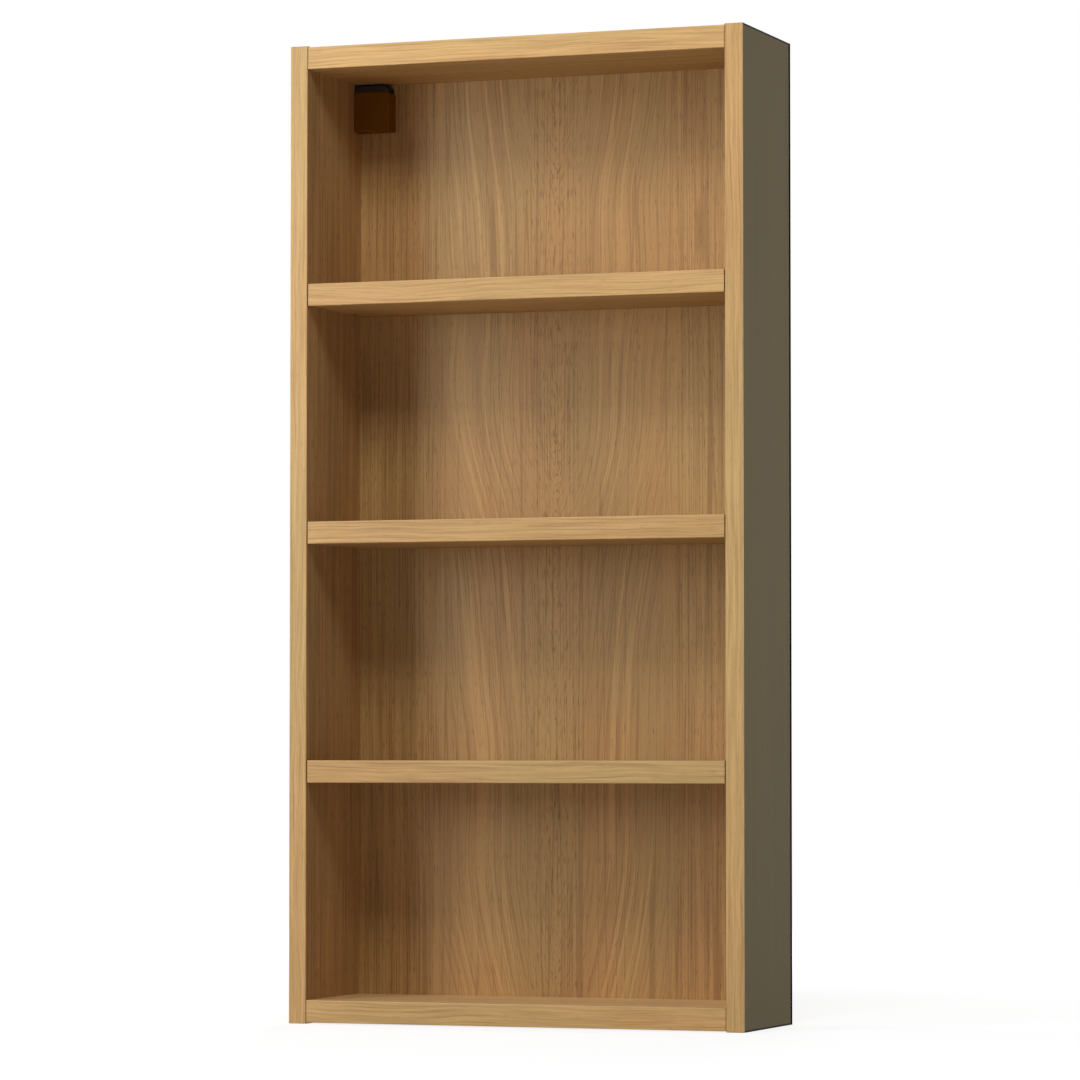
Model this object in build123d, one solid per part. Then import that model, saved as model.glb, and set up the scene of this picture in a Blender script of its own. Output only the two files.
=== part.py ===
"""A shallow wall bookcase: an oak case with a back panel, three shelves that lift off hidden pins,
and two adjustable cabinet hangers in the upper corners. Millimetres, +X to the right seen from the
front, +Y towards the wall, +Z up. The origin is the middle of the footprint, on the ground."""
from build123d import *
import os

# --- Case ---------------------------------------------------------------------------------------
case_width = 600.0            # over the outer faces of the two sides
case_depth = 195.0            # from the front edges to the wall
side_thickness = 23.0         # with the laminate
board_thickness = 28.0        # top, bottom and shelves
side_overhang = 1.5           # how far the sides reach past the top's and bottom's outer faces
shelf_names = ("lower_shelf", "middle_shelf", "upper_shelf")
clear_height = 272.0          # free height of each compartment
back_thickness = 8.0
laminate_thickness = 0.8      # the dark outer skin of each side
edging_thickness = 2.0        # solid oak strip on every front edge
edging_radius = 1.0           # its rounded front corners
groove_depth = 8.0            # in the sides, the top and the bottom, for the back panel
groove_clearance = 0.15       # between a groove's wall and the panel, on each face
panel_edge_clearance = 0.5    # between the panel's edge and the bottom of its groove

# --- Shelves and their supports -------------------------------------------------------------------
shelf_end_gap = 0.75          # between a shelf's end and the side
shelf_back_gap = 1.0          # between a shelf's rear edge and the back panel
pin_radius = 2.5
pin_in_side = 10.0            # length of a pin in the side's hole
pin_out = 9.5                 # length that stands out under the shelf
pin_flat = 0.8                # depth of the flat on a pin's top, where the shelf rests
pin_inset = 37.0              # from the front edging, and from the back panel
hole_pitch = 32.0             # between neighbouring pin holes
spare_holes = 2               # above, and as many below, each pin
cap_thickness = 3.0
press_clearance = 0.05        # radial, for all that is pushed, glued or screwed into a hole
pocket_height = 8.0           # of the pocket that hides a pin in the shelf's underside
pocket_side = 1.0             # free space beside and beyond a pin in its pocket

# --- Corner joints ----------------------------------------------------------------------------------
dowel_radius = 4.0
dowel_length = 30.0
dowel_in_side = 11.0
dowel_end_gap = 1.0
dowel_setback = 67.0          # from the front edging, and from the back panel
cam_radius = 7.5
cam_height = 17.5
cam_recess = 0.5              # from the board's outer face to the cam
cam_from_end = 24.0           # from the board's end to the cam's axis
cam_setback = 35.0            # from the front edging, and from the back panel
cam_slot_width = 1.4
cam_slot_length = 10.0
cam_slot_depth = 2.5
bolt_radius = 3.0
bolt_thread_radius = 2.5
bolt_in_side = 10.0
bolt_neck_radius = 2.0
bolt_neck_length = 3.0
bolt_head_length = 3.0
bolt_clearance = 0.5          # around the bolt in the board and in the cam

# --- Cabinet hangers ----------------------------------------------------------------------------------
# Across: from the side's inner face. Deep: from the back panel's front face, positive to the front.
# Down: from the underside of the top.
sheet = 1.5                   # steel sheet of the housing
hanger_top_gap = 0.5
housing_width = 46.7
housing_depth = 21.5
housing_bottom = 59.3
housing_corner = 8.0          # radius of the upper inner corner
housing_bend = 2.5            # outer radius of the sheet's bends around the front
housing_lip = 12.0            # down to here the housing's front is closed
cover_gap = 0.3               # between the cover and what it covers
cover_wall = 2.0
cover_top = 10.0
cover_corner = 6.0
cover_edge = 1.8              # radius around the cover's front
height_travel = 5.0           # each way, by the height screw
depth_travel = 3.0            # each way, by the depth screw
moving_gap = 0.5              # between a moving piece and what it comes nearest to
screw_play = 0.1              # endwise, at each captive shoulder
running_clearance = 0.05      # radial, where a screw turns
carriage_near_gap = 2.3       # from the fixing screws' heads
carriage_far_gap = 4.2        # from the housing's free side
carriage_height = 20.0
carriage_back = 4.0
carriage_front_gap = 1.0      # behind the housing's lip
carriage_wall = 3.0
nut_width = 17.0              # twice the way from the height screw's axis to the carriage's free side
height_screw_inset = 5.0      # from the carriage's front to the screw's axis
height_screw_radius = 3.0
height_screw_pivot_radius = 2.0
height_screw_head_radius = 4.5
height_screw_head = 3.4
depth_screw_radius = 2.5
depth_screw_head_radius = 4.0
depth_screw_head = 2.0
depth_screw_collar_radius = 3.5
depth_screw_collar = 1.6
drive_width = 1.2             # of the cross recess in a screw's head
drive_depth = 1.2
hook_axis_down = 30.0         # to the middle of the hook's arm and of the carriage
hook_height = 16.0
hook_thickness = 4.0
hook_side_gap = 1.0           # beside the hook and its tab in the carriage's chamber
hook_tab_gap = 2.0            # between the tab's end and the chamber's
hook_tab_wall = 1.5           # beside the depth screw in the tab, on each side
hook_tab_thickness = 3.0
hook_nose_thickness = 3.5
rail_slot = 4.0               # between the back panel and the hook's nose, for the wall rail
rail_grip = 12.0              # how far the nose reaches down behind the rail
hook_slot_play = 0.6          # beside the hook in the housing's back wall
hook_slot_ends = 2.0          # above and below the hook's travel there
cutout_margin = 5.0           # the back panel's cut-out around the housing's slot
fixing_radius = 1.75
fixing_in_side = 14.0
fixing_head_radius = 3.5
fixing_head = 2.2
fixing_deep = 6.0
fixing_from_top = 12.0
fixing_from_bottom = 8.0      # above the housing's lower face
driver_radius = 4.0           # of the housing's holes that let a screwdriver through

# --- Worked out from the sizes above --------------------------------------------------------------------
boards_height = (len(shelf_names) + 2) * board_thickness + (len(shelf_names) + 1) * clear_height
case_height = boards_height + 2 * side_overhang
outer = case_width / 2
inner = outer - side_thickness                     # inner face of the right side
front = -case_depth / 2
rear = case_depth / 2
core_front = front + edging_thickness
rear_recess = rail_slot + hook_nose_thickness + depth_travel + moving_gap
back_rear = rear - rear_recess      # the recess behind it holds the wall rail
back_front = back_rear - back_thickness
bottom_under = side_overhang
bottom_middle = bottom_under + board_thickness / 2
bottom_top = bottom_under + board_thickness
top_under = case_height - bottom_top
pitch = board_thickness + clear_height
shelf_bottoms = {name: bottom_under + (level + 1) * pitch for level, name in enumerate(shelf_names)}
pin_rows = (core_front + pin_inset, back_front - pin_inset)
pin_drop = pocket_height - pin_radius + pin_flat   # a pin's axis above the shelf's underside
cam_rows = (core_front + cam_setback, back_front - cam_setback)
dowel_rows = (core_front + dowel_setback, back_front - dowel_setback)
fixing_down = (fixing_from_top, housing_bottom - fixing_from_bottom)
carriage_across = (sheet + fixing_head + carriage_near_gap, housing_width - sheet - carriage_far_gap)
carriage_deep = (carriage_back, housing_depth - sheet - carriage_front_gap)
carriage_down = (hook_axis_down - carriage_height / 2, hook_axis_down + carriage_height / 2)
chamber_near = carriage_across[0] + carriage_wall
hook_across = (chamber_near + hook_side_gap, chamber_near + hook_side_gap + hook_thickness)
depth_screw_across = hook_across[1] + hook_tab_wall + depth_screw_radius
hook_tab_end = depth_screw_across + depth_screw_radius + hook_tab_wall
chamber = (chamber_near, hook_tab_end + hook_tab_gap)     # across
height_screw_across = carriage_across[1] - nut_width / 2
height_screw_deep = carriage_deep[1] - height_screw_inset
hook_down = (hook_axis_down - hook_height / 2, hook_axis_down + hook_height / 2)
hook_tab_back = sheet + depth_travel + moving_gap
hook_tab_deep = (hook_tab_back, hook_tab_back + hook_tab_thickness)
hook_nose_deep = (-back_thickness - rail_slot - hook_nose_thickness, -back_thickness - rail_slot)
ACROSS, DEEP, UP = (1, 0, 0), (0, 1, 0), (0, 0, 1)


def block(x, y, z):
    """A box from its lower and upper limits along each axis."""
    limits = (x, y, z)
    middle = [(low + high) / 2 for low, high in limits]
    return Pos(*middle) * Box(*[high - low for low, high in limits])


def rod(start, direction, radius, length):
    """A round bar from its start point along a direction."""
    base = Plane(origin=start, z_dir=direction)
    return base * Cylinder(radius, length, align=(Align.CENTER, Align.CENTER, Align.MIN))


def mirrored(part):
    """The right-hand copy of a left-hand part."""
    return mirror(part, about=Plane.YZ)


def both_sides(parts):
    return parts + [mirrored(part) for part in parts]


def edging(x, z):
    """A front strip with its four front edges rounded."""
    strip = block(x, (front, core_front), z)
    return fillet(strip.faces().sort_by(Axis.Y)[0].edges(), edging_radius)


# --- Case ---------------------------------------------------------------------------------------
def panel_groove():
    """The back panel's own space, as deep as its grooves and wider by their clearance."""
    reach = groove_depth - panel_edge_clearance
    panel = (-inner - reach, inner + reach), (back_front, back_rear)
    deep = (-inner - groove_depth, inner + groove_depth)
    thick = (back_front - groove_clearance, back_rear + groove_clearance)
    heights = (bottom_top - reach, top_under + reach)
    deep_heights = (bottom_top - groove_depth, top_under + groove_depth)
    return block(*panel, heights), block(deep, thick, deep_heights)


def pin_holes():
    """The holes of the left side, in short groups of five around each shelf's pins."""
    used, spare = [], []
    for underside in shelf_bottoms.values():
        for y in pin_rows:
            for step in range(-spare_holes, spare_holes + 1):
                spot = (-inner, y, underside + pin_drop + step * hole_pitch)
                (spare if step else used).append(spot)
    return used, spare


def side_panel():
    """The left side: full height, with the groove and every hole that its inner face has."""
    panel = block((-outer + laminate_thickness, -inner), (core_front, rear), (0, case_height))
    panel -= panel_groove()[1]
    used, spare = pin_holes()
    panel -= [rod(spot, (-1, 0, 0), pin_radius, pin_in_side + press_clearance) for spot in used + spare]
    for z in (bottom_middle, case_height - bottom_middle):
        panel -= [rod((-inner, y, z), (-1, 0, 0), dowel_radius, dowel_in_side + dowel_end_gap)
                  for y in dowel_rows]
        panel -= [rod((-inner, y, z), (-1, 0, 0), bolt_thread_radius, bolt_in_side + press_clearance)
                  for y in cam_rows]
    panel -= [rod(hanger_point(0, fixing_deep, down), (-1, 0, 0), fixing_radius,
                  fixing_in_side + press_clearance) for down in fixing_down]
    return panel


def side_laminate():
    return block((-outer, -outer + laminate_thickness), (core_front, rear), (0, case_height))


def case_board():
    """The bottom board, bored from below and from its ends. The top is its mirror image."""
    board = block((-inner, inner), (core_front, rear), (bottom_under, bottom_top))
    board -= panel_groove()[1]
    bores = [rod((-inner, y, bottom_middle), ACROSS, dowel_radius,
                 dowel_length - dowel_in_side + dowel_end_gap) for y in dowel_rows]
    bores += [rod((-inner, y, bottom_middle), ACROSS, bolt_radius + bolt_clearance, cam_from_end)
              for y in cam_rows]
    bores += [rod((cam_from_end - inner, y, bottom_under), UP, cam_radius,
                  cam_recess + cam_height + cam_recess) for y in cam_rows]
    return board - both_sides(bores)


def upside_down(part):
    """The copy for the top of the case of a part of the bottom."""
    return mirror(part, about=Plane.XY.offset(case_height / 2))


def back_panel():
    """The panel in its grooves, with a cut-out behind each hanger for the hook."""
    across, down = hook_slot()
    wide = (across[0] - cutout_margin, across[1] + cutout_margin)
    high = (down[0] - cutout_margin, hook_down[1] + rail_grip + hook_slot_ends)
    cutout = hanger_block(wide, (-back_thickness - 1, 1), high)
    return panel_groove()[0] - both_sides([cutout])


def dowels():
    low = [rod((-inner - dowel_in_side, y, bottom_middle), ACROSS, dowel_radius - press_clearance,
               dowel_length) for y in dowel_rows]
    sides = both_sides(low)
    return sides + [upside_down(dowel) for dowel in sides]


def cam_lock(y):
    """A cam in its bore, open towards the case's side to take the bolt's head."""
    x = cam_from_end - inner
    foot = bottom_under + cam_recess
    cam = rod((x, y, foot), UP, cam_radius - press_clearance, cam_height)
    grip = bolt_radius + bolt_clearance
    cam -= block((x - cam_radius, x + grip), (y - grip, y + grip),
                 (bottom_middle - grip, bottom_middle + grip))
    half_length, half_width = cam_slot_length / 2, cam_slot_width / 2
    drive = (bottom_under, foot + cam_slot_depth)
    cam -= block((x - half_length, x + half_length), (y - half_width, y + half_width), drive)
    cam -= block((x - half_width, x + half_width), (y - half_length, y + half_length), drive)
    return cam


def cam_bolt(y):
    """Thread in the side, shank, thin neck and the head that its cam pulls on."""
    shank = cam_from_end - bolt_neck_length - bolt_head_length / 2

    def at(x):
        return x, y, bottom_middle

    bolt = rod(at(-inner - bolt_in_side), ACROSS, bolt_thread_radius - press_clearance, bolt_in_side)
    bolt += rod(at(-inner), ACROSS, bolt_radius, shank)
    bolt += rod(at(shank - inner), ACROSS, bolt_neck_radius, bolt_neck_length)
    bolt += rod(at(shank + bolt_neck_length - inner), ACROSS, bolt_radius, bolt_head_length)
    return bolt


def case_fittings(maker):
    """One fitting for each row of each of the four corner joints."""
    low = both_sides([maker(y) for y in cam_rows])
    return low + [upside_down(fitting) for fitting in low]


# --- Shelves --------------------------------------------------------------------------------------
def shelf(underside):
    """A loose board with four pockets in its underside that drop over the pins."""
    end = inner - shelf_end_gap
    board = block((-end, end), (core_front, back_front - shelf_back_gap),
                  (underside, underside + board_thickness))
    half_width = pin_radius + pocket_side
    reach = pin_out + pocket_side - inner
    pockets = [block((-end - 1, reach), (y - half_width, y + half_width),
                     (underside - 1, underside + pocket_height)) for y in pin_rows]
    return board - both_sides(pockets)


def shelf_edging(underside):
    end = inner - shelf_end_gap
    return edging((-end, end), (underside, underside + board_thickness))


def shelf_pins(underside):
    """Round pins in the sides, with a flat on the end that the shelf rests on."""
    z = underside + pin_drop
    pins = []
    for y in pin_rows:
        pin = rod((-inner - pin_in_side, y, z), ACROSS, pin_radius - press_clearance, pin_in_side)
        pin += rod((-inner, y, z), ACROSS, pin_radius, pin_out)
        above_flat = (z + pin_radius - pin_flat, z + pin_radius)
        pin -= block((-inner, pin_out - inner), (y - pin_radius, y + pin_radius), above_flat)
        pins.append(pin)
    return both_sides(pins)


def hole_caps():
    """Flush caps that close the spare pin holes."""
    return both_sides([rod(spot, (-1, 0, 0), pin_radius - press_clearance, cap_thickness)
                       for spot in pin_holes()[1]])


# --- Cabinet hangers --------------------------------------------------------------------------------
def hanger_point(across, deep, down):
    """A point of the left hanger, in the case's frame."""
    return across - inner, back_front - deep, top_under - down


def hanger_block(across, deep, down):
    """A box of the left hanger, from its limits across, deep and down."""
    low = hanger_point(across[0], deep[1], down[1])
    high = hanger_point(across[1], deep[0], down[0])
    return block(*zip(low, high))


def rounded_block(across, deep, down, radius, bend):
    """A hanger_block with its upper corner away from the side rounded, and its front's free edges."""
    solid = hanger_block(across, deep, down)
    corner = solid.edges().filter_by(Axis.Y).group_by(Axis.X)[-1].sort_by(Axis.Z)[-1]
    solid = fillet(corner, radius)
    outline = solid.faces().sort_by(Axis.Y)[0].edges().sort_by(Axis.X)
    return fillet(outline[1:], bend)


def hook_slot():
    """Limits across and down of the slot in the housing's back wall."""
    across = (hook_across[0] - hook_slot_play, hook_across[1] + hook_slot_play)
    travel = height_travel + hook_slot_ends
    return across, (hook_down[0] - travel, hook_down[1] + travel)


def cross_recess(solid, start, inward, radius):
    """Cut a cross into a screw's head."""
    half, wide = radius * 0.7, drive_width / 2
    face = Plane(origin=start, z_dir=inward)
    for size in ((2 * half, 2 * wide), (2 * wide, 2 * half)):
        solid -= face * Box(*size, 2 * drive_depth)
    return solid


def hanger_housing():
    """A pressed steel box, open at the front below its lip, screwed to the side."""
    body = rounded_block((0, housing_width), (0, housing_depth), (hanger_top_gap, housing_bottom),
                         housing_corner, housing_bend)
    inside = (sheet, housing_width - sheet)
    below_top, above_bottom = hanger_top_gap + sheet, housing_bottom - sheet
    body -= rounded_block(inside, (sheet, housing_depth - sheet), (below_top, above_bottom),
                          housing_corner - sheet, housing_bend - sheet)
    body -= hanger_block(inside, (sheet, housing_depth + 1), (housing_lip, above_bottom))
    slot_across, slot_down = hook_slot()
    body -= hanger_block(slot_across, (-1, sheet + 1), slot_down)
    top = hanger_point(height_screw_across, height_screw_deep, 0)
    body -= rod(top, (0, 0, -1), height_screw_pivot_radius + running_clearance, below_top + 1)
    bottom = hanger_point(height_screw_across, height_screw_deep, above_bottom - 1)
    body -= rod(bottom, (0, 0, -1), height_screw_radius, sheet + 2)
    for down in fixing_down:
        body -= rod(hanger_point(-1, fixing_deep, down), ACROSS, fixing_radius + press_clearance, sheet + 2)
        body -= rod(hanger_point(housing_width - sheet - 1, fixing_deep, down), ACROSS, driver_radius,
                    sheet + 2)
    return body


def hanger_cover():
    """A plastic cap over the housing's front, free side and bottom."""
    front_face = housing_depth + cover_gap + cover_wall
    bottom_face = housing_bottom + cover_gap + cover_wall
    free_side = housing_width + cover_gap + cover_wall
    cap = rounded_block((cover_gap, free_side), (cover_gap, front_face), (cover_top, bottom_face),
                        cover_corner, cover_edge)
    return cap - hanger_block((-1, free_side - cover_wall), (-1, front_face - cover_wall),
                              (0, bottom_face - cover_wall))


def hanger_carriage():
    """The nut block on the height screw, with a chamber for the hook and a wall for its screw."""
    back, face = carriage_deep
    beyond = (carriage_down[0] - 1, carriage_down[1] + 1)
    body = hanger_block(carriage_across, carriage_deep, carriage_down)
    body -= hanger_block(chamber, (back - 1, face - carriage_wall), beyond)
    nut = hanger_point(height_screw_across, height_screw_deep, beyond[0])
    body -= rod(nut, (0, 0, -1), height_screw_radius + running_clearance, beyond[1] - beyond[0])
    neck = hanger_point(depth_screw_across, face + 1, hook_axis_down)
    body -= rod(neck, DEEP, depth_screw_radius + running_clearance, carriage_wall + 2)
    return body


def hanger_hook():
    """A steel plate through the back panel with a nose over the wall rail and a tapped tab."""
    nose_back, nose_front = hook_nose_deep
    plate = hanger_block(hook_across, (nose_back, hook_tab_deep[1]), hook_down)
    plate += hanger_block(hook_across, (nose_back, nose_front), (hook_down[0], hook_down[1] + rail_grip))
    plate += hanger_block((hook_across[0], hook_tab_end), hook_tab_deep, hook_down)
    tapped = hanger_point(depth_screw_across, hook_tab_deep[1] + 1, hook_axis_down)
    return plate - rod(tapped, DEEP, depth_screw_radius + running_clearance, hook_tab_thickness + 2)


def height_screw():
    """Upright, captive between the housing's top and bottom."""
    shoulder = hanger_top_gap + sheet + screw_play
    seat = housing_bottom - sheet - screw_play
    head_top = seat - height_screw_head
    place = (height_screw_across, height_screw_deep)
    screw = rod(hanger_point(*place, shoulder), (0, 0, -1), height_screw_radius, head_top - shoulder)
    screw += rod(hanger_point(*place, hanger_top_gap), (0, 0, -1), height_screw_pivot_radius,
                 shoulder - hanger_top_gap)
    screw += rod(hanger_point(*place, head_top), (0, 0, -1), height_screw_head_radius, height_screw_head)
    return cross_recess(screw, hanger_point(*place, seat), UP, height_screw_head_radius)


def depth_screw():
    """Level, captive in the carriage's front wall, through the hook's tab."""
    face = carriage_deep[1]
    behind_wall = face - carriage_wall - screw_play
    head = face + screw_play + depth_screw_head
    start = hanger_point(depth_screw_across, head, hook_axis_down)
    screw = rod(start, DEEP, depth_screw_head_radius, depth_screw_head)
    screw += rod(start, DEEP, depth_screw_radius, head - sheet - moving_gap)
    screw += rod(hanger_point(depth_screw_across, behind_wall, hook_axis_down), DEEP,
                 depth_screw_collar_radius, depth_screw_collar)
    return cross_recess(screw, start, DEEP, depth_screw_head_radius)


def fixing_screws():
    """Two screws from inside the housing into the side."""
    screws = []
    for down in fixing_down:
        seat = hanger_point(sheet, fixing_deep, down)
        screw = rod(seat, (-1, 0, 0), fixing_radius, sheet + fixing_in_side)
        screw += rod(seat, ACROSS, fixing_head_radius, fixing_head)
        head = hanger_point(sheet + fixing_head, fixing_deep, down)
        screws.append(cross_recess(screw, head, ACROSS, fixing_head_radius))
    return screws


# --- Nodes ----------------------------------------------------------------------------------------
def write(name, parts):
    """One STEP file for each node; identical fasteners are separate solids of one node."""
    solids = parts if isinstance(parts, list) else [parts]
    shape = solids[0] if len(solids) == 1 else Compound(children=solids)
    shape.label = name
    export_step(shape, f"parts/{name}.step")


def write_pair(name, parts):
    """The left-hand node and its mirror image."""
    solids = parts if isinstance(parts, list) else [parts]
    write(f"left_{name}", solids)
    write(f"right_{name}", [mirrored(solid) for solid in solids])


os.makedirs("parts", exist_ok=True)

write_pair("side_panel", side_panel())
write_pair("side_laminate", side_laminate())
write_pair("side_edging", edging((-outer, -inner), (0, case_height)))
bottom_board = case_board()
bottom_edging = edging((-inner, inner), (bottom_under, bottom_top))
write("bottom_board", bottom_board)
write("bottom_edging", bottom_edging)
write("top_board", upside_down(bottom_board))
write("top_edging", upside_down(bottom_edging))
write("back_panel", back_panel())
write("carcass_dowels", dowels())
write("cam_locks", case_fittings(cam_lock))
write("cam_bolts", case_fittings(cam_bolt))

for shelf_name, shelf_bottom in shelf_bottoms.items():
    write(shelf_name, shelf(shelf_bottom))
    write(f"{shelf_name}_edging", shelf_edging(shelf_bottom))
    write(f"{shelf_name}_pins", shelf_pins(shelf_bottom))
write("spare_hole_caps", hole_caps())

write_pair("hanger_housing", hanger_housing())
write_pair("hanger_cover", hanger_cover())
write_pair("hanger_carriage", hanger_carriage())
write_pair("hanger_hook", hanger_hook())
write_pair("height_screw", height_screw())
write_pair("depth_screw", depth_screw())
write_pair("hanger_fixing_screws", fixing_screws())
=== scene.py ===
"""Looks of the wall bookcase: oak, dark outer skins, cabinet hangers, fittings, studio and camera."""
import math

import bpy
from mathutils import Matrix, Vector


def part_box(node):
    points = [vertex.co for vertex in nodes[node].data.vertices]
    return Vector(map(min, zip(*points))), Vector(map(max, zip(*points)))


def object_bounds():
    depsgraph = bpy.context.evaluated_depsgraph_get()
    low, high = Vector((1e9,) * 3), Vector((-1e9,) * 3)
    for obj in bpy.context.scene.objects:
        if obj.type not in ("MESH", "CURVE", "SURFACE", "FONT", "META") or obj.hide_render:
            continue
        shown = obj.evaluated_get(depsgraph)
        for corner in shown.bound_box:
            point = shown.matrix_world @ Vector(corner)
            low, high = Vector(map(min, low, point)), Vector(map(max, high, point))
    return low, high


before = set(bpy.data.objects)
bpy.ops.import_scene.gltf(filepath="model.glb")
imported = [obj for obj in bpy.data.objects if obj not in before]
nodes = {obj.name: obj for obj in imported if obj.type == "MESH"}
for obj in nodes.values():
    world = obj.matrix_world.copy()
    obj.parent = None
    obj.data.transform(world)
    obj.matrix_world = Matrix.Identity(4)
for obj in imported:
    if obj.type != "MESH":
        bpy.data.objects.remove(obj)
cad_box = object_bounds()


# --- Node trees -----------------------------------------------------------------------------------------
class Nodes:
    """A node tree. Every input takes a socket or a plain value."""

    def __init__(self, tree):
        self.tree = tree
        self.tree.nodes.clear()

    def feed(self, socket, value):
        if isinstance(value, bpy.types.NodeSocket):
            self.tree.links.new(value, socket)
        else:
            socket.default_value = value

    def node(self, kind, inputs=(), **settings):
        made = self.tree.nodes.new(kind)
        for key, value in settings.items():
            setattr(made, key, value)
        for key, value in dict(inputs).items():
            self.feed(made.inputs[key], value)
        return made

    def math(self, operation, *values, clamp=False):
        made = self.node("ShaderNodeMath", operation=operation, use_clamp=clamp)
        for socket, value in zip(made.inputs, values):
            self.feed(socket, value)
        return made.outputs[0]

    def total(self, *terms):
        """The sum of factor times value over pairs of both."""
        result = 0.0
        for factor, value in terms:
            result = self.math("MULTIPLY_ADD", value, factor, result)
        return result

    def span(self, value, low, high, to_low=0.0, to_high=1.0):
        """A smooth step from to_low to to_high while the value goes from low to high."""
        made = self.node("ShaderNodeMapRange", {"Value": value}, interpolation_type="SMOOTHSTEP")
        for key, number in (("From Min", low), ("From Max", high), ("To Min", to_low), ("To Max", to_high)):
            made.inputs[key].default_value = number
        return made.outputs["Result"]

    def vector(self, x=0.0, y=0.0, z=0.0):
        return self.node("ShaderNodeCombineXYZ", {0: x, 1: y, 2: z}).outputs[0]

    def scaled(self, place, x, y, z, seed=0.0):
        """A noise vector: each axis of the place times its own frequency, shifted by the seed."""
        rates = dict(zip("xyz", (x, y, z)))
        return self.vector(*[self.total((rate, place[axis]), (1.0, seed)) for axis, rate in rates.items()])

    def place(self):
        """The frame's own coordinates at the surface, in metres."""
        split = self.node("ShaderNodeSeparateXYZ", {0: self.node("ShaderNodeTexCoord").outputs["Object"]})
        return dict(zip("xyz", split.outputs))

    def noise(self, vector, detail=2.0, roughness=0.5):
        inputs = {"Vector": vector, "Scale": 1.0, "Detail": detail, "Roughness": roughness}
        return self.node("ShaderNodeTexNoise", inputs).outputs["Fac"]

    def mix(self, amount, first, second, blend="MIX"):
        made = self.node("ShaderNodeMix", data_type="RGBA", blend_type=blend)
        self.feed(made.inputs[0], amount)
        self.feed(made.inputs[6], first)
        self.feed(made.inputs[7], second)
        return made.outputs[2]


class Finish(Nodes):
    """The node tree of one material, with its shader."""

    def __init__(self, name):
        self.material = bpy.data.materials.new(name)
        self.material.use_nodes = True
        super().__init__(self.material.node_tree)
        self.output = self.node("ShaderNodeOutputMaterial")
        self.shader = self.node("ShaderNodeBsdfPrincipled")
        self.feed(self.output.inputs["Surface"], self.shader.outputs["BSDF"])

    def bump(self, height, distance):
        made = self.node("ShaderNodeBump", {"Height": height, "Strength": 1.0, "Distance": distance})
        self.feed(self.shader.inputs["Normal"], made.outputs["Normal"])

    def finish(self, **values):
        """Set the shader's sockets, spaces in their names written as underscores."""
        for key, value in values.items():
            self.feed(self.shader.inputs[key.replace("_", " ")], value)
        return self.material


def rgb(red, green, blue):
    return (red, green, blue, 1.0)


# --- Oak --------------------------------------------------------------------------------------------------
# Tones run from dark to light wood. Three strips differ from the others by a factor, which is painted light
# and shade: the top edging lighter, the middle and lower shelf edgings darker, as the light falls off
# downwards.
VENEER = (rgb(0.295, 0.152, 0.049), rgb(0.585, 0.350, 0.131))
SIDE_VENEER = (rgb(0.285, 0.154, 0.061), rgb(0.575, 0.358, 0.160))
# Painted light: the bottom board's tones are much lighter than the other boards', for the strong light
# falling on its upper face.
LIT_BOTTOM_VENEER = (rgb(0.58, 0.340, 0.145), rgb(0.88, 0.590, 0.290))
EDGING = (rgb(0.50, 0.274, 0.100), rgb(0.81, 0.508, 0.204))
STRIP_LIGHT_FACTORS = {"top_edging": 1.06, "middle_shelf_edging": 0.93, "lower_shelf_edging": 0.91}
OAK_PORE = rgb(0.150, 0.070, 0.022)
OAK_JOINT = rgb(0.030, 0.013, 0.004)
# painted highlight colour for the upper arris of the level edgings
OAK_ARRIS_HIGHLIGHT = rgb(0.90, 0.62, 0.30)
OAK_WARM = rgb(1.02, 0.978, 0.955)
OAK_COOL = rgb(0.978, 1.012, 0.99)

# Marks of the growth rings: width across the rings and length along the grain, in metres.
LIGHT_BAND = (0.010, 0.5)
CROWN_BAND = (0.0070, 0.6)
EDGING_BAND = (0.0032, 0.12)
DARK_LINE = (0.0021, 0.22)
PORE = (0.0012, 0.018)

# The stretch of its noise over which each mark appears.
BAND_SHOWS = (0.34, 0.68)
STREAK_SHOWS = (0.53, 0.62)
LINE_SHOWS = (0.50, 0.64)
PORE_SHOWS = (0.60, 0.70)
VEIN_FADES = (0.004, 0.013)     # away from the noise's middle value

# The pointed figure, in distances from its centre line in metres. Straight grain takes over beyond it.
HEART_ENDS = (0.015, 0.055)
FLANK_BEGINS = (0.045, 0.075)
FLANK_ENDS = (0.125, 0.165)
CROWN_ENDS = (0.135, 0.170)
TIP_RADIUS = 0.005
HALF_CHANGE = 0.009     # within this the rings of one flank turn into the other's

# Marks on a level edging: how far in from its edge each one is full, and where it has faded out. The arris
# mark is a painted highlight where light from above catches the upper edge.
ARRIS_HIGHLIGHT = (0.0005, 0.0017)
LEFT_JOINT = (0.0007, 0.0012)
RIGHT_JOINT = (0.0003, 0.0008)


def figure(tree, ring, along, layer, band):
    """What the growth rings draw as the ring coordinate grows: light bands of the given shape, fine dark
    lines and short dark pores, all stretched along the grain."""
    def drawn(shape, shift, detail):
        width, length = shape
        place = tree.vector(tree.total((1.0 / width, ring)), tree.total((1.0 / length, along)),
                            tree.total((1.0, layer), (1.0, shift)))
        return tree.noise(place, detail, 0.55)
    return drawn(band, 0.0, 2.0), drawn(DARK_LINE, 3.0, 2.0), drawn(PORE, 7.0, 1.0)


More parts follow.
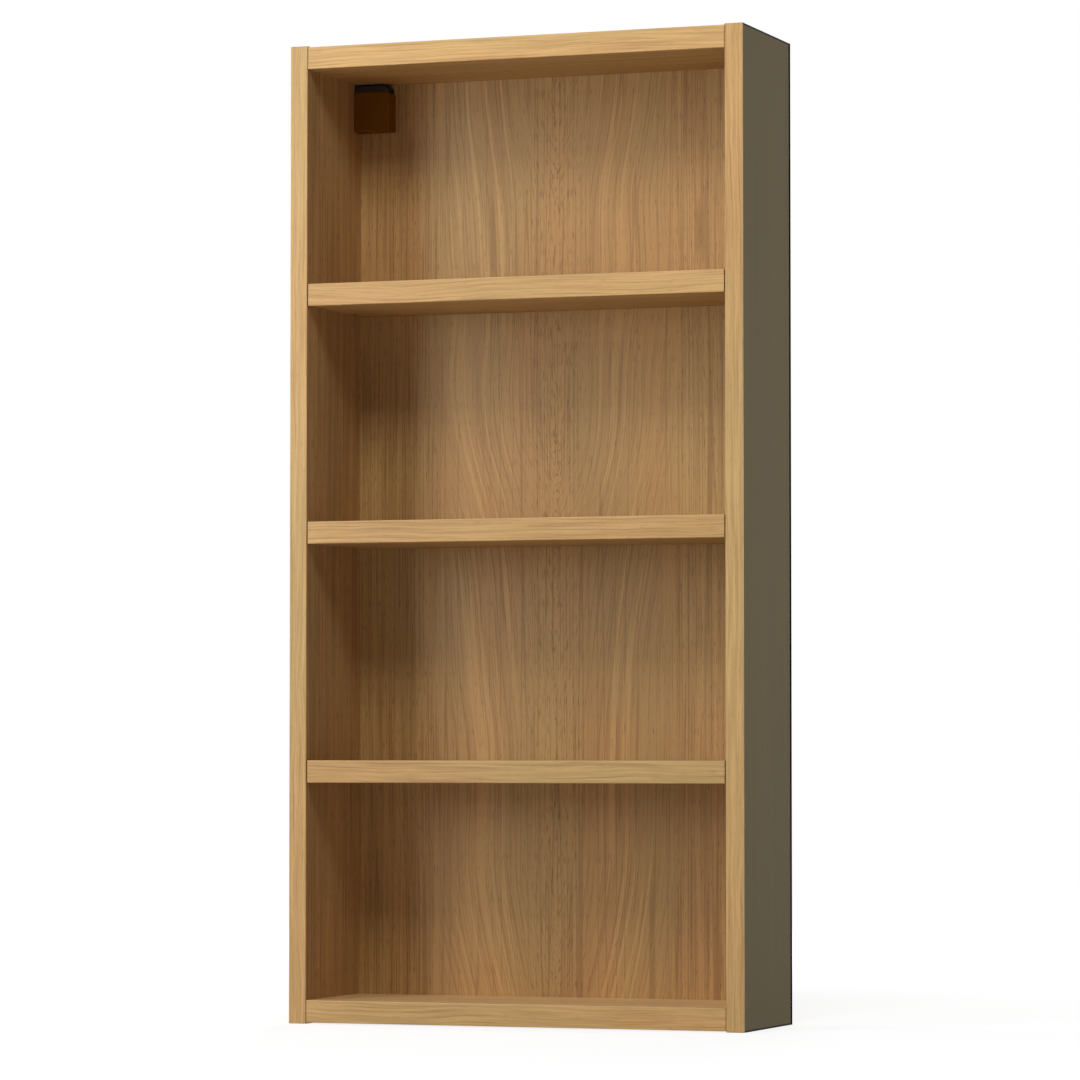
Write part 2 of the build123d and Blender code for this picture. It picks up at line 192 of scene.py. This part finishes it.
def crown(tree, apart, plain, pointed):
    """Blend the pointed figure over the plain one: dense pores in its heart, light streaks on its flanks."""
    bands, fine, dots = plain
    streaks, lines, pores = pointed
    flank = tree.math("MULTIPLY", tree.span(apart, *FLANK_BEGINS), tree.span(apart, *FLANK_ENDS, 1.0, 0.0))
    inside = tree.span(apart, *CROWN_ENDS, 1.0, 0.0)
    light = tree.math("MULTIPLY", tree.span(streaks, *STREAK_SHOWS), flank)
    bands = tree.mix(inside, bands, tree.math("MULTIPLY_ADD", light, 1.35, 0.36))
    heart = tree.span(apart, *HEART_ENDS, 1.0, 0.0)
    beside_heart = tree.math("MULTIPLY", inside, tree.total((-1.0, heart), (1.0, 1.0)))
    fine = tree.mix(tree.math("MULTIPLY", beside_heart, 0.8), fine, tree.span(lines, *LINE_SHOWS))
    least = tree.math("MULTIPLY_ADD", heart, -0.07, 0.62)
    heart_dots = tree.math("MULTIPLY", tree.math("SUBTRACT", pores, least), 9.0, clamp=True)
    return bands, fine, tree.mix(inside, dots, heart_dots)


def veins(tree, straight, along, seed):
    """A few thin dark lines along the straight grain, far longer than the rings' own."""
    drawn = tree.noise(tree.vector(tree.total((42.0, straight)), tree.total((0.5, along)), seed + 3.0), 1.0)
    off_line = tree.math("ABSOLUTE", tree.math("SUBTRACT", drawn, 0.5))
    return tree.span(off_line, *VEIN_FADES, 0.9, 0.0)


def strip_marks(tree, place, strip, colour):
    """A painted highlight along the upper arris and a dark joint at both ends of a level edging."""
    low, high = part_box(strip)
    full, faded = ARRIS_HIGHLIGHT
    # painted highlight: the top of the rounded upper edge is lightened, as where light from above catches it
    arris = tree.span(place["z"], high.z - faded, high.z - full, 0.0, 0.45)
    full, faded = LEFT_JOINT
    left = tree.span(place["x"], low.x + full, low.x + faded, 0.95, 0.0)
    full, faded = RIGHT_JOINT
    right = tree.span(place["x"], high.x - faded, high.x - full, 0.0, 0.6)
    joint = tree.math("MAXIMUM", left, right)
    return tree.mix(joint, tree.mix(arris, colour, OAK_ARRIS_HIGHLIGHT), OAK_JOINT)


def oak(name, grain, across, seed, tones=VENEER, centre=None, lean=0.0, band=LIGHT_BAND, bands_force=0.34,
        lines_force=0.50, pores_force=0.45, waviness=0.010, restless=1.0, strip=None):
    """Lacquered oak with its grain along one axis. A centre gives it the tall pointed figure there, whose
    rings lean outwards going up. A strip is the node of a level edging and gets that edging's marks."""
    tree = Finish(name)
    place = tree.place()
    along = place[grain]

    def stretched(rate_along, rate_across, shift, detail=1.0):
        """Noise with one frequency along the grain and another across it."""
        rates = [rate_along if axis == grain else rate_across for axis in "xyz"]
        return tree.noise(tree.scaled(place, *rates, seed + shift), detail)

    bend = tree.total((waviness, stretched(1.1 * restless, 4.5, 0.0)),
                      (waviness * 0.18, stretched(5.0 * restless, 26.0, 11.0)))
    through = next(axis for axis in "xyz" if axis not in (grain, across))
    straight = tree.total((1.0, place[across]), (0.8, place[through]), (1.0, bend))
    bands, lines, pores = figure(tree, straight, along, seed, band)
    bands = tree.span(bands, *BAND_SHOWS)
    fine = tree.span(lines, *LINE_SHOWS)
    dots = tree.span(pores, *PORE_SHOWS)
    if centre is not None:
        away = tree.math("SUBTRACT", place[across], centre)
        apart = tree.math("SQRT", tree.math("MULTIPLY_ADD", away, away, TIP_RADIUS ** 2))
        layer = tree.total((4.0, tree.span(away, -HALF_CHANGE, HALF_CHANGE)), (1.0, seed + 20.0))
        sway = stretched(3.2, 2.0, 5.0)
        ring = tree.total((1.0, apart), (-lean, along), (0.9, bend), (0.07, sway))
        pointed = figure(tree, ring, along, layer, CROWN_BAND)
        bands, fine, dots = crown(tree, apart, (bands, fine, dots), pointed)
        fine = tree.math("MAXIMUM", fine, veins(tree, straight, along, seed))

    cloud = stretched(1.8, 9.0, 31.0, 2.0)
    hue = stretched(2.5, 13.0, 47.0)
    middle = 0.33 - bands_force / 2 + lines_force / 4
    value = tree.total((bands_force, bands), (-lines_force, fine), (0.7, cloud), (1.0, middle))
    colour = tree.mix(tree.math("ADD", value, 0.0, clamp=True), *tones)
    tint = tree.mix(tree.span(hue, 0.34, 0.66), OAK_WARM, OAK_COOL)
    colour = tree.mix(1.0, colour, tint, "MULTIPLY")
    colour = tree.mix(tree.math("MULTIPLY", dots, pores_force), colour, OAK_PORE)
    if strip is not None:
        colour = strip_marks(tree, place, strip, colour)
    tree.bump(tree.total((-0.5, fine), (-1.0, dots)), 0.00004)
    roughness = tree.total((0.12, dots), (0.05, cloud), (1.0, 0.47))
    return tree.finish(Base_Color=colour, Roughness=roughness, Specular_IOR_Level=0.35, Coat_Weight=0.08,
                       Coat_Roughness=0.38)


# --- Outer skin, hangers and fittings ---------------------------------------------------------------------
LAMINATE = (rgb(0.100, 0.077, 0.038), rgb(0.166, 0.130, 0.066))
# near-black colour of the painted shade along the skin's rear edge and ends
LAMINATE_EDGE_SHADE = rgb(0.006, 0.005, 0.004)
LAMINATE_GLEAM = 0.06
STEEL_PALE = (rgb(0.50, 0.50, 0.49), rgb(0.66, 0.66, 0.64))

# The painted shade along the skin's edges, a near-black outline at the rear edge and the top and bottom ends:
# how far in from the edge it is full, and where it has faded out.
REAR_SHADE_LINE = (0.0070, 0.0078)
END_SHADE_LINES = (0.0020, 0.0027)


def laminate(name, node, seed):
    """Matt olive-grey laminate with a faint printed upright grain, and painted shade as a near-black outline
    along its rear edge and its top and bottom ends.
    """
    tree = Finish(name)
    place = tree.place()
    low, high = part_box(node)
    grain = tree.noise(tree.scaled(place, 220.0, 220.0, 1.6, seed), 3.0, 0.6)
    patch = tree.noise(tree.scaled(place, 9.0, 9.0, 2.0, seed + 5.0), 2.0)
    speck = tree.noise(tree.scaled(place, 1600.0, 1600.0, 1600.0, seed + 9.0), 1.0)
    shade = tree.total((0.75, grain), (0.40, patch), (0.06, speck), (1.0, -0.10))
    colour = tree.mix(tree.math("ADD", shade, 0.0, clamp=True), *LAMINATE)
    full, faded = REAR_SHADE_LINE
    rear = tree.span(place["y"], high.y - faded, high.y - full)
    full, faded = END_SHADE_LINES
    ends = tree.math("MAXIMUM", tree.span(place["z"], high.z - faded, high.z - full),
                     tree.span(place["z"], low.z + full, low.z + faded, 1.0, 0.0))
    # painted shade: the rear strip and the end lines turn near-black
    colour = tree.mix(tree.math("MAXIMUM", rear, ends), colour, LAMINATE_EDGE_SHADE)
    tree.bump(tree.total((0.7, grain), (0.3, speck)), 0.00003)
    gleam = tree.total((-LAMINATE_GLEAM, rear), (1.0, LAMINATE_GLEAM))
    roughness = tree.total((0.10, patch), (1.0, 0.50))
    return tree.finish(Base_Color=colour, Roughness=roughness, Specular_IOR_Level=gleam)


def metal(name, dark, light, roughness, scale, seed, brushed=None):
    """Plated or cast metal: cloudy plating, fine scratches and, if brushed, lines along one axis."""
    tree = Finish(name)
    place = tree.place()
    cloud = tree.noise(tree.scaled(place, scale, scale, scale, seed), 3.0, 0.6)
    stretch = [scale * (0.6 if axis == brushed else 22.0) for axis in "xyz"]
    lines = tree.noise(tree.scaled(place, *stretch, seed + 3.0), 2.0)
    colour = tree.mix(tree.total((0.6, cloud), (0.4, lines)), dark, light)
    tree.bump(lines, 0.00001)
    rough = tree.total((0.16, cloud), (0.10, lines), (1.0, roughness - 0.13))
    return tree.finish(Base_Color=colour, Roughness=rough, Metallic=1.0)


def moulded(name, dark, light, roughness, seed):
    """Moulded plastic with a fine spark-eroded texture."""
    tree = Finish(name)
    place = tree.place()
    grain = tree.noise(tree.scaled(place, 2600.0, 2600.0, 2600.0, seed), 2.0, 0.6)
    patch = tree.noise(tree.scaled(place, 45.0, 45.0, 45.0, seed + 2.0), 2.0)
    tree.bump(grain, 0.00003)
    colour = tree.mix(tree.total((0.4, grain), (0.6, patch)), dark, light)
    rough = tree.total((0.12, patch), (1.0, roughness))
    return tree.finish(Base_Color=colour, Roughness=rough, Specular_IOR_Level=0.15)


def beech(name):
    """Compressed beech dowel: pale, with short flecks and pressed flutes."""
    tree = Finish(name)
    place = tree.place()
    fleck = tree.noise(tree.scaled(place, 260.0, 1500.0, 1500.0, 2.0), 2.0)
    flutes = tree.node("ShaderNodeTexWave", {"Vector": tree.scaled(place, 0.0, 900.0, 900.0), "Scale": 1.0})
    colour = tree.mix(fleck, rgb(0.62, 0.42, 0.24), rgb(0.76, 0.57, 0.36))
    tree.bump(flutes.outputs["Fac"], 0.0002)
    return tree.finish(Base_Color=colour, Roughness=0.7)


# --- Which piece gets what --------------------------------------------------------------------------------
def edging(name, seed):
    """Solid oak strip with small lively figure: upright on the sides, level on the boards."""
    upright = "side" in name
    grain, across = ("z", "x") if upright else ("x", "z")
    # painted light and shade: some edgings' tones are scaled lighter or darker
    tones = [rgb(*[STRIP_LIGHT_FACTORS.get(name, 1.0) * part for part in colour[:3]]) for colour in EDGING]
    return oak("oak_" + name, grain, across, seed, tones, band=EDGING_BAND, bands_force=0.42,
               lines_force=0.36, pores_force=0.15, waviness=0.018, restless=4.0,
               strip=None if upright else name)


finishes = {
    "left_side_panel": oak("oak_left_side", "z", "y", 3.0, SIDE_VENEER, waviness=0.006),
    "right_side_panel": oak("oak_right_side", "z", "y", 41.0, SIDE_VENEER, waviness=0.006),
    "back_panel": oak("oak_back", "z", "x", 7.0, centre=-0.008, lean=0.10),
    "top_board": oak("oak_top", "x", "y", 13.0),
    # painted light: the bottom board takes the lighter tones
    "bottom_board": oak("oak_bottom", "x", "y", 17.0, LIT_BOTTOM_VENEER),
    "lower_shelf": oak("oak_lower_shelf", "x", "y", 23.0),
    "middle_shelf": oak("oak_middle_shelf", "x", "y", 29.0),
    "upper_shelf": oak("oak_upper_shelf", "x", "y", 37.0),
}
for count, name in enumerate(("top_edging", "bottom_edging", "lower_shelf_edging", "middle_shelf_edging",
                              "upper_shelf_edging", "left_side_edging", "right_side_edging")):
    finishes[name] = edging(name, 60.0 + 9.0 * count)
finishes["spare_hole_caps"] = finishes["left_side_panel"]
zinc = metal("cast_zinc", rgb(0.44, 0.44, 0.43), rgb(0.60, 0.60, 0.59), 0.42, 240.0, 5.0)
plated = metal("plated_steel", *STEEL_PALE, 0.30, 300.0, 8.0)
hook_steel = metal("hook_steel", rgb(0.46, 0.45, 0.42), rgb(0.62, 0.61, 0.57), 0.34, 180.0, 12.0, "x")
dark_steel = metal("dark_steel", rgb(0.032, 0.028, 0.026), rgb(0.062, 0.056, 0.052), 0.45, 120.0, 15.0, "x")
brown = moulded("brown_plastic", rgb(0.163, 0.056, 0.001), rgb(0.210, 0.078, 0.003), 0.50, 19.0)
for side in ("left", "right"):
    skin = f"{side}_side_laminate"
    finishes[skin] = laminate(skin + "_finish", skin, 3.0 if side == "left" else 21.0)
    finishes[f"{side}_hanger_housing"] = dark_steel
    finishes[f"{side}_hanger_cover"] = brown
    finishes[f"{side}_hanger_carriage"] = zinc
    finishes[f"{side}_hanger_hook"] = hook_steel
    for screw in ("height_screw", "depth_screw", "hanger_fixing_screws"):
        finishes[f"{side}_{screw}"] = plated
for name in ("cam_bolts", "lower_shelf_pins", "middle_shelf_pins", "upper_shelf_pins"):
    finishes[name] = plated
finishes["cam_locks"] = zinc
finishes["carcass_dowels"] = beech("beech_dowel")
for name, node in nodes.items():
    for slot in node.material_slots:
        slot.material = finishes[name]


# --- Studio -------------------------------------------------------------------------------------------------
WHITE = rgb(1.0, 1.0, 1.0)
FLOOR_SIZE = 60.0
SOFTBOX_SIZE = 0.8


def seen_direct(tree):
    """1 for what the camera, a gloss or a clear surface sees, and 0 for soft light."""
    path = tree.node("ShaderNodeLightPath").outputs
    return tree.math("MAXIMUM", path["Is Camera Ray"],
                     tree.math("MAXIMUM", path["Is Glossy Ray"], path["Is Transmission Ray"]))


def make_floor():
    """A wide pale floor that shows as white except in the object's soft shadow."""
    bpy.ops.mesh.primitive_plane_add(size=FLOOR_SIZE, location=(0.0, 0.0, cad_box[0].z))
    floor = bpy.context.object
    floor.name = "studio_floor"
    tree = Finish("pale_floor")
    place = tree.place()
    reach = tree.math("SQRT", tree.math("MULTIPLY_ADD", place["x"], place["x"],
                                        tree.math("MULTIPLY", place["y"], place["y"])))
    strength = tree.span(reach, 0.5, 3.0, 0.80, 1.0)
    glow = tree.node("ShaderNodeEmission", {"Color": WHITE, "Strength": strength})
    dim = tree.node("ShaderNodeBsdfDiffuse", {"Color": rgb(0.30, 0.30, 0.30)})
    both = tree.node("ShaderNodeAddShader", {0: glow.outputs[0], 1: dim.outputs[0]})
    tree.finish(Base_Color=rgb(0.60, 0.60, 0.60), Roughness=0.9)
    choice = {0: seen_direct(tree), 1: tree.shader.outputs[0], 2: both.outputs[0]}
    shown = tree.node("ShaderNodeMixShader", choice)
    tree.feed(tree.output.inputs["Surface"], shown.outputs[0])
    floor.data.materials.append(tree.material)


def make_world(strength, colour):
    """White where it is seen directly, and a faint soft light everywhere else."""
    world = bpy.data.worlds.new("studio")
    bpy.context.scene.world = world
    world.use_nodes = True
    tree = Nodes(world.node_tree)
    output = tree.node("ShaderNodeOutputWorld")
    soft = tree.node("ShaderNodeBackground", {"Color": colour, "Strength": strength})
    white = tree.node("ShaderNodeBackground", {"Color": WHITE})
    shown = tree.node("ShaderNodeMixShader", {0: seen_direct(tree), 1: soft.outputs[0], 2: white.outputs[0]})
    tree.feed(output.inputs["Surface"], shown.outputs[0])


def softbox(name, place, power, width=SOFTBOX_SIZE):
    """An area light that faces the object's centre."""
    target = (cad_box[0] + cad_box[1]) / 2
    lamp = bpy.data.lights.new(name, "AREA")
    lamp.shape, lamp.size, lamp.size_y = "RECTANGLE", width, SOFTBOX_SIZE
    lamp.energy = power
    made = bpy.data.objects.new(name, lamp)
    bpy.context.scene.collection.objects.link(made)
    made.location = place
    made.rotation_euler = (made.location - target).to_track_quat("Z", "Y").to_euler()


make_floor()
make_world(0.02, rgb(0.95, 0.98, 1.0))
softbox("low_left", (-1.5, -2.1, 0.9), 14.6)
softbox("left", (-1.5, -2.1, 1.8), 12.0)
softbox("high_front", (0.5, -2.1, 2.7), 31.0)
softbox("right_side", (2.6, 0.4, 1.0), 23.0)
softbox("left_side", (-2.6, 0.4, 1.0), 23.0)
softbox("rear", (-0.6, 2.8, 1.8), 34.0, width=1.2)


# --- Camera -------------------------------------------------------------------------------------------------
LENS = 162.07             # focal length and frame width in millimetres
SENSOR_WIDTH = 36.0
CAMERA_PLACE = (2.1261, -5.7219, 0.3410)
CAMERA_TILT = 92.487      # degrees from straight down, and then about the upright
CAMERA_TURN = 20.383

camera = bpy.data.cameras.new("camera")
camera.lens = LENS
camera.sensor_width = SENSOR_WIDTH
view = bpy.data.objects.new("camera", camera)
view.location = CAMERA_PLACE
view.rotation_euler = (math.radians(CAMERA_TILT), 0.0, math.radians(CAMERA_TURN))
bpy.context.scene.collection.objects.link(view)
bpy.context.scene.camera = view
bpy.context.scene.view_settings.view_transform = "Standard"
